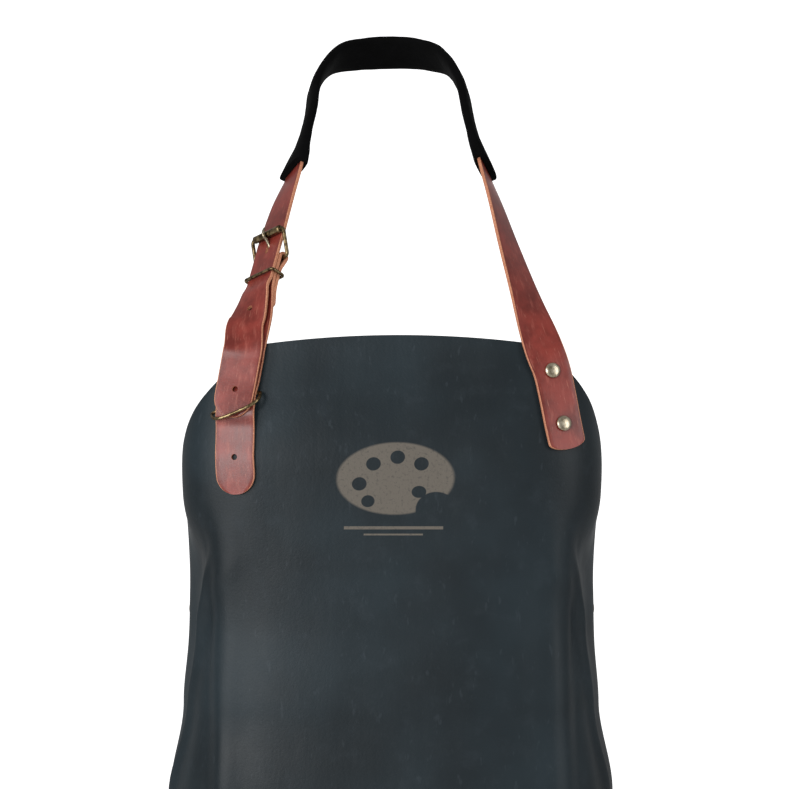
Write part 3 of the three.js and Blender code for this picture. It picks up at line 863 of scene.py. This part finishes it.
# below the keeper both strips turn to face the front
def leaving(n, u, degrees, across):
    a = math.radians(degrees)
    return neckBuckle @ point(across, n, u), Vector((-math.sin(a), -math.cos(a), 0.45))


neckStops += [leaving(n, u, turn, across) for u, n, turn, across in (
    (50, 1.8, 53, 0.2), (58, 1.6, 46, 0.5), (67, 1.7, 37, 0.9), (76, 2.0, 27, 1.1),
    (85, 2.6, 19, 0.9))]
neckStops += [
    front(-109.8, -238, overRing - mm(1.5)),
    front(-111.2, -249, overRing - mm(0.2)),
    front(-113.6, -264, overRing),
    front(-116, -278, overRing),
    front(-117.6, -292, overRing),
]
neckRoute = Route(neckStops)

buckle = {
    "bar": 1.5,
    "halfWide": 19,
    "corner": 3,
    "length": 20,
    "roller": 2.9,
    "rollerHalf": 15.6,
    "rise": 4.5,
    "drop": 6,
    "prong": 1.2,
    "keeperWire": 1.25,
    "keeperAt": 36.5,
}
pitchMm = layerPitch * 1000
gapMm = leather["gap"] * 1000
halfMm = leather["strapThick"] * 500


# a strap's end folded back round the heel bar: its tail, the fold, then the run away from it
def chapeStops(matrix, tail, away):
    radius = buckle["bar"] + gapMm + halfMm
    stops = [inBuckle(matrix, n, u, -1, 0) for u, n in tail]
    for degrees in (-90, -45, 0, 45, 90):
        a = math.radians(degrees)
        n = -buckle["drop"] + radius * math.sin(a)
        u = buckle["length"] - radius * math.cos(a)
        stops.append(inBuckle(matrix, n, u, math.sin(a), -math.cos(a)))
    return stops + [inBuckle(matrix, n, u) for u, n in away]


chapeTail = [(65, -3.31), (57, -2.76), (50, -2.24), (40, -2.035), (31, -2.105), (25.5, -2.66)]
chapeTail = [(u, layers * pitchMm) for u, layers in chapeTail]
chapeStraight = [(24, -pitchMm), (31, -pitchMm), (40, -pitchMm)]
baseStops = chapeStops(neckBuckle, chapeTail, chapeStraight)
baseStops += [leaving(layers * pitchMm, u, turn, across) for u, layers, turn, across in (
    (50, -1.24, 53, 0), (59, -1.45, 46, 0.5), (68, -1.5, 37, 0.9), (77, -1.4, 27, 1.0))]
baseStops += [
    front(-108.8, -238, onPanel + mm(0.4)),
    front(-110, -246, onPanel + mm(0.5)),
    front(-111.6, -255, onPanel + mm(0.3)),
    front(-113, -264, onPanel + mm(1.1)),
    front(-114.4, -273, ringSeat),
    front(-115.3, -281, ringSeat + mm(0.1)),
    front(-115.9, -289, ringSeat),
    front(-116.4, -299, onPanel + mm(0.9)),
    front(-116.7, -309, onPanel),
    front(-117, -322, onPanel),
    front(-116.2, -337, onPanel),
    front(-115.4, -350, onPanel),
]
baseRoute = Route(baseStops)

waistZ = mm(waistLevel)
waistLift = onPanel + mm(1.3)
waistBuckle = buckleAxes(
    Vector((mm(10), bodyCentre + bodyAt(waistZ)[1] + mm(8), waistZ)), Vector((0, 1, 0)), Vector((-1, 0, 0))
)
waistTail = [(65, -6.6), (57, -6.1), (50, -6.1), (40, -5.9), (31, -6.1), (25.5, -7.7)]
waistRivets = {"Front": 266, "Rear": 284}
walks = [257, waistRivets["Front"], 275, waistRivets["Rear"], 300, 316, 330, 352, 374]
waistLeftStops = chapeStops(waistBuckle, waistTail, chapeStraight + [(50, -3.3), (58, -3.5), (68, -3.3)])
waistLeftStops += [alongRing(-mm(walk), waistZ, waistLift) for walk in reversed(walks)]
waistRightStops = [alongRing(mm(walk), waistZ, waistLift) for walk in walks]
waistRightStops += [inBuckle(waistBuckle, 0, u) for u in (-42, -26, -12, 0, 12, 24, 34, 42)]
waistRightStops += [inBuckle(waistBuckle, n, u) for u, n in ((50, 3.1), (58, 3.5), (68, 2.6), (80, 1.8))]
waistLeftRoute = Route(waistLeftStops)
waistRightRoute = Route(waistRightStops)
print("routes made")

# where the fastenings sit
def seatOn(route, spot):
    return route.frame(route.nearest(spot), leather["strapThick"] / 2)


foldRivet = (-pitchMm - 0.7, 50)
spareHole = front(-117, -322, onPanel)[0]
seats = {
    "rightUpper": seatOn(neckRoute, neckStops[3][0]),
    "rightLower": seatOn(neckRoute, neckStops[1][0]),
    "left": seatOn(baseRoute, front(-111.3, -253, onPanel)[0]),
    "spare": seatOn(baseRoute, spareHole),
    "neckFold": seatOn(baseRoute, inBuckle(neckBuckle, *foldRivet)[0]),
    "waistFold": seatOn(waistLeftRoute, inBuckle(waistBuckle, *foldRivet)[0]),
}
for label, sign, route in (("Left", -1, waistLeftRoute), ("Right", 1, waistRightRoute)):
    for end, walk in waistRivets.items():
        seats["waist" + label + end] = seatOn(route, alongRing(sign * mm(walk), waistZ, waistLift)[0])

rivet = {"head": 5.9, "high": 2.4, "gap": 0.75, "socket": 1.3, "stub": 1.8, "rim": 0.45}
rivetBore, sizeBore = mm(1.75), mm(2.3)


# straps and the holes in them
strapLoop = strapSection(leather["strapWide"], leather["strapThick"])
strapLook = ["strap", "strapEdge", "strapBack"]


def strap(name, node, route, step, startRound, endRound, fine=None):
    spots = spotsAlong(0, route.length, mm(step), mm(startRound), mm(endRound), fine)
    return strip(name, route, strapLoop, spots, strapLook, "apron", node)


def prongHole(matrix):
    return cutter(matrix @ Matrix.Translation(point(0, 0, 10.6)), mm(1.7), mm(7))


def foldSlot(matrix):
    spot = point(0, -buckle["drop"], buckle["length"] + 0.5)
    return cutter(matrix @ Matrix.Translation(spot), mm(2), mm(8), mm(12))


def sizeHole(route, spot):
    return cutter(route.frame(route.nearest(spot)), sizeBore)


neckStrap = strap("neckStrap", "neck_strap", neckRoute, 2.5, 6, 15)
punch(neckStrap, [
    cutter(seats["rightUpper"], rivetBore),
    cutter(seats["rightLower"], rivetBore),
    prongHole(neckBuckle),
    sizeHole(neckRoute, inBuckle(neckBuckle, 5, 68)[0]),
    sizeHole(neckRoute, front(-114.8, -271, overRing)[0]),
])

# fine steps where a strap folds round the heel bar
foldAt = baseRoute.nearest(inBuckle(neckBuckle, -buckle["drop"], 17)[0])
neckFine = (foldAt - mm(9), foldAt + mm(9), mm(0.6))
buckleStrap = strap("buckleStrap", "buckle_strap", baseRoute, 2.5, 4, 15, neckFine)
punch(buckleStrap, [foldSlot(neckBuckle), cutter(seats["left"], rivetBore), cutter(seats["spare"], sizeBore)])

waistFine = (mm(28), mm(62), mm(0.6))
waistLeft = strap("waistStrapLeft", "waist_strap_left", waistLeftRoute, 3, 4, 6, waistFine)
punch(waistLeft, [
    foldSlot(waistBuckle),
    cutter(seats["waistLeftFront"], rivetBore),
    cutter(seats["waistLeftRear"], rivetBore),
])
waistRight = strap("waistStrapRight", "waist_strap_right", waistRightRoute, 3, 6, 15)
punch(waistRight, [
    prongHole(waistBuckle),
    cutter(seats["waistRightFront"], rivetBore),
    cutter(seats["waistRightRear"], rivetBore),
    *[sizeHole(waistRightRoute, inBuckle(waistBuckle, 0, u)[0]) for u in (34, 60)],
])
print("straps made")

# padded sleeve
sleeveShape = {"wide": mm(38), "thick": mm(7.8), "slack": mm(0.7), "flare": mm(3.0)}
tunnel = {"wide": mm(31.4), "thick": mm(4.0)}
sleeveEnds = (neckRoute.nearest(point(72, -80, -98)), neckRoute.nearest(point(-75.5, -82, -100)))


def sleeveLoop(wide, thick, square, sides=44):
    loop = []
    for i in range(sides):
        a = 2 * math.pi * (i + 0.5) / sides
        c, s = math.cos(a), math.sin(a)
        reach = (abs(c) ** square + abs(s) ** square) ** (-1 / square)
        loop.append((wide / 2 * reach * c, thick / 2 * reach * s, 0))
    return loop


def slack(spot, distance):
    pull = noise.noise(Vector((spot.x * 70, distance * 38, 2.0 + math.copysign(0.5, spot.y))))
    ruck = noise.noise(Vector((spot.x * 25, distance * 110, 9.0)))
    fromEnd = min(distance - sleeveEnds[0], sleeveEnds[1] - distance)
    amount = sleeveShape["slack"] * max(0.15, min(1.0, fromEnd / mm(12))) * (0.7 * pull + 0.5 * ruck)
    inTunnel = abs(spot.y) <= tunnel["thick"] / 2 + mm(0.2) and abs(spot.x) <= tunnel["wide"] / 2 + mm(0.5)
    if inTunnel:
        return spot
    flare = bell(fromEnd, 0, mm(24))
    lift = flare * sleeveShape["flare"] * (1 if spot.y > 0 else 0.3)
    across = spot.x * (1 + 0.1 * flare) + 0.3 * amount
    return Vector((across, spot.y + math.copysign(lift + amount, spot.y), 0))


sleeve = strip("neckSleeve", neckRoute, sleeveLoop(sleeveShape["wide"], sleeveShape["thick"], 2.9),
               spotsAlong(*sleeveEnds, mm(2.2)), ["sleeve", "sleeve"], "apron", "neck_sleeve",
               inner=sleeveLoop(tunnel["wide"], tunnel["thick"], 8), shape=slack)
print("sleeve made")


# metalwork
def rivetCap(name, matrix, node):
    g, high, head, stub, rim = (rivet[key] for key in ("gap", "high", "head", "stub", "rim"))
    outline = [(0, g + rivet["socket"]), (stub, g + rivet["socket"]), (stub, g), (head - 0.5, g)]
    outline += [(head - 0.1, g + rim / 3), (head, g + rim)]
    for degrees in range(12, 90, 11):
        a = math.radians(degrees)
        outline.append((head * math.cos(a) ** 0.9, g + rim + (high - rim) * math.sin(a)))
    outline.append((0, g + high))
    # the caps take the paler brass, which partly paints in the shine on their domes
    lathe(name, [(mm(r), mm(y)) for r, y in outline], matrix, "apron", node, look="wearAndSheen")


def turnedOver(matrix):
    depth = -(2 * leather["strapThick"] + leather["gap"])
    return matrix @ Matrix.Translation((0, depth, 0)) @ Matrix.Rotation(math.pi, 4, "X")


rivetCap("rivetRightUpper", seats["rightUpper"], "right_rivet_upper_cap")
rivetCap("rivetRightLower", seats["rightLower"], "right_rivet_lower_cap")
rivetCap("rivetLeft", seats["left"], "left_rivet_cap")
rivetCap("rivetNeckFold", turnedOver(seats["neckFold"]), "neck_fold_rivet_cap")
rivetCap("rivetWaistFold", turnedOver(seats["waistFold"]), "waist_fold_rivet_cap")
for label in ("Left", "Right"):
    for end in waistRivets:
        rivetCap("rivetWaist" + label + end, seats["waist" + label + end],
                 "waist_rivet_" + label.lower() + "_" + end.lower() + "_cap")


def roundedLoop(halfX, halfY, corner, perCorner=5, perSide=5):
    straightX, straightY = halfX - corner, halfY - corner
    points = []
    for sx, sy, start in ((1, 1, 0), (-1, 1, 90), (-1, -1, 180), (1, -1, 270)):
        for i in range(perCorner):
            a = math.radians(start + 90 * i / (perCorner - 1))
            points.append((sx * straightX + corner * math.cos(a), sy * straightY + corner * math.sin(a)))
        x, y = points[-1]
        flat = abs(y) > halfY - 0.01
        for i in range(1, perSide):
            share = 1 - 2 * i / perSide
            points.append((sx * straightX * share, y) if flat else (x, sy * straightY * share))
    return points


def makeBuckle(matrix, label, bodies, nodes):
    rise, drop, length = buckle["rise"], buckle["drop"], buckle["length"]
    side = math.hypot(rise + drop, length)
    wire = []
    for x, y in roundedLoop(buckle["halfWide"], side / 2, buckle["corner"]):
        share = y / side + 0.5
        wire.append(point(x, mix(rise, -drop, share), length * share))
    tube(label + "Frame", wire, mm(buckle["bar"]), bodies[0], nodes[0], 22, True, matrix)

    hold = matrix @ Matrix.Translation(point(0, rise, 0)) @ Matrix.Rotation(math.radians(90), 4, "Z")
    end, outer, bore = buckle["rollerHalf"], buckle["roller"], buckle["bar"] + gapMm
    outline = [(bore, -end), (outer - 0.4, -end), (outer, -end + 0.4), (outer, -end + 3), (outer, end - 3)]
    outline += [(outer, end - 0.4), (outer - 0.4, end), (bore, end)]
    lathe(label + "Roller", [(mm(r), mm(y)) for r, y in outline], hold, bodies[1], nodes[1], closedLoop=True)

    # the prong's eye round the heel bar, its shank, then its bend over the roller
    over = outer + gapMm + buckle["prong"] + 0.1
    eye = bore + buckle["prong"]
    path = []
    for degrees in (-330, -285, -240, -195, -150):
        a = math.radians(degrees)
        path.append(point(0, -drop + eye * math.sin(a), length + eye * math.cos(a)))
    path += [point(0, -drop + 1.4, length - 3.0), point(0, -2.9, length - 6), point(0, 0, 8.6)]
    for degrees in (5, 35, 62, 90):
        a = math.radians(degrees)
        path.append(point(0, rise + over * math.sin(a), over * math.cos(a)))
    path.append(point(0, rise + over, -3.4))

    def taper(share):
        return mm(buckle["prong"]) * (1 - 0.35 * smooth((share - 0.93) / 0.07))

    tube(label + "Prong", path, taper, bodies[2], nodes[2], 20, False, matrix, look="wearAndSheen")

    # the keeper goes round three layers of strap
    room = 0.4 + buckle["keeperWire"]
    top = halfMm + room
    bottom = -(5 * halfMm + 2 * gapMm) - room - gapMm
    halfAcross = leather["strapWide"] * 500 + room + 0.2
    loop = [point(x, y + (top + bottom) / 2, buckle["keeperAt"])
            for x, y in roundedLoop(halfAcross, (top - bottom) / 2, 2.4)]
    tube(label + "Keeper", loop, mm(buckle["keeperWire"]), bodies[3], nodes[3], 20, True, matrix)


for place, matrix in (("neck", neckBuckle), ("waist", waistBuckle)):
    makeBuckle(matrix, place, ("apron", place + "_roller", place + "_prong", place + "_keeper"),
               (place + "_buckle_frame", place + "_buckle_roller", place + "_buckle_prong",
                place + "_strap_keeper"))

ringSpot, ringOut = onFront(ring["x"], ring["z"], leather["panelThick"] + leather["gap"] + ring["wire"])
ringDown = onFront(ring["x"], ring["z"] - mm(10), 0)[0] - onFront(ring["x"], ring["z"] + mm(10), 0)[0]
ringAxes = buckleAxes(ringSpot, ringOut, ringDown) @ Matrix.Translation(point(-1, 0, 0))
ringAxes = ringAxes @ Matrix.Rotation(ring["tilt"], 4, "Y") @ Matrix.Rotation(-ring["lean"], 4, "X")
bow = [Vector((ring["halfWide"] * share, 0, 0)) for share in (0.86, 0.5, 0, -0.5, -0.86)]
bowSteps, square = 18, 3.2
for i in range(bowSteps + 1):
    a = math.radians(175 - i * 170 / bowSteps)
    reach = (abs(math.cos(a)) ** square + math.sin(a) ** square) ** (-1 / square)
    bow.append(Vector((ring["halfWide"] * reach * math.cos(a), 0, ring["height"] * reach * math.sin(a))))
tube("dRing", bow, ring["wire"], "ring", "d_ring", 20, True, ringAxes)
print("metalwork made")

# hidden posts stay as the CAD made them
for node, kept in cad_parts.items():
    if node.endswith("_post"):
        kept.data.materials.clear()
        kept.data.materials.append(looks["brass"])

panelHoles = [cutter(seats[key], rivetBore) for key in seats if key not in ("spare", "neckFold", "waistFold")]
punch(panel, panelHoles)

halfWide = leather["panelWide"] / 2
steps = 400
walksOver = [halfWide * (i + 0.5) / steps for i in range(steps)]
flatArea = 2 * sum((topEdge(walk) - hemEdge(walk)) * halfWide / steps for walk in walksOver)

# studio
def backdrop(name, corners, material):
    mesh = bpy.data.meshes.new(name)
    build = bmesh.new()
    build.faces.new([build.verts.new(corner) for corner in corners])
    build.to_mesh(mesh)
    build.free()
    mesh.materials.append(material)
    sheet = bpy.data.objects.new(name, mesh)
    bpy.context.scene.collection.objects.link(sheet)


def grey(level):
    return (level, level, level, 1)


def floorPaint():
    s = Shader("floorShade")
    return s.set(Base_Color=grey(0.8), Roughness=s.noise(s.objectSpace(), 3.0) * 0.1 + 0.6)


def glowingWall():
    s = Shader("wallShade")
    glow = s.blend(s.noise(s.objectSpace(), 0.6), grey(1), grey(0.97))
    return s.set(Base_Color=grey(0.9), Emission_Strength=0.95, Emission_Color=glow,
                 Roughness=s.noise(s.objectSpace(), 2.0) * 0.1 + 0.8)


floorZ, wallY = -1.1, 5.6
backdrop("floor", [(x, y, floorZ) for x, y in ((-3, -2.2), (3, -2.2), (3, 3.3), (-3, 3.3))], floorPaint())
# pale wall far behind, lit from within
backdrop("wall", [(x, wallY, z) for x, z in ((-1.5, -1.7), (1.5, -1.7), (1.5, 1.2), (-1.5, 1.2))],
         glowingWall())

world = bpy.data.worlds.new("studio")
world.use_nodes = True
sky = world.node_tree.nodes["Background"]
sky.inputs["Color"].default_value = grey(1)
sky.inputs["Strength"].default_value = 0.35
bpy.context.scene.world = world
bpy.context.scene.view_settings.view_transform = "Standard"


def softBox(name, location, target, size, power, glossy=True):
    lamp = bpy.data.lights.new(name, "AREA")
    lamp.shape = "RECTANGLE"
    lamp.size, lamp.size_y = size
    lamp.energy = power
    holder = bpy.data.objects.new(name, lamp)
    holder.location = location
    holder.rotation_euler = (Vector(target) - Vector(location)).to_track_quat("-Z", "Y").to_euler()
    holder.visible_glossy = glossy
    holder.visible_camera = False
    bpy.context.scene.collection.objects.link(holder)


softBox("keyLeft", (-1.8, -1.6, 0.1), (0, -0.1, -0.4), (0.7, 1.6), 20)
softBox("fillRight", (1.8, -1.4, 0.1), (0, -0.1, -0.4), (0.7, 1.6), 13)
softBox("lowGloss", (-1.05, -2.15, -0.05), (-0.12, -0.17, -0.33), (0.6, 0.85), 20)
softBox("topSoft", (0.0, -1.2, 1.3), (0, -0.1, -0.3), (1.4, 0.6), 6, False)
print("studio made")
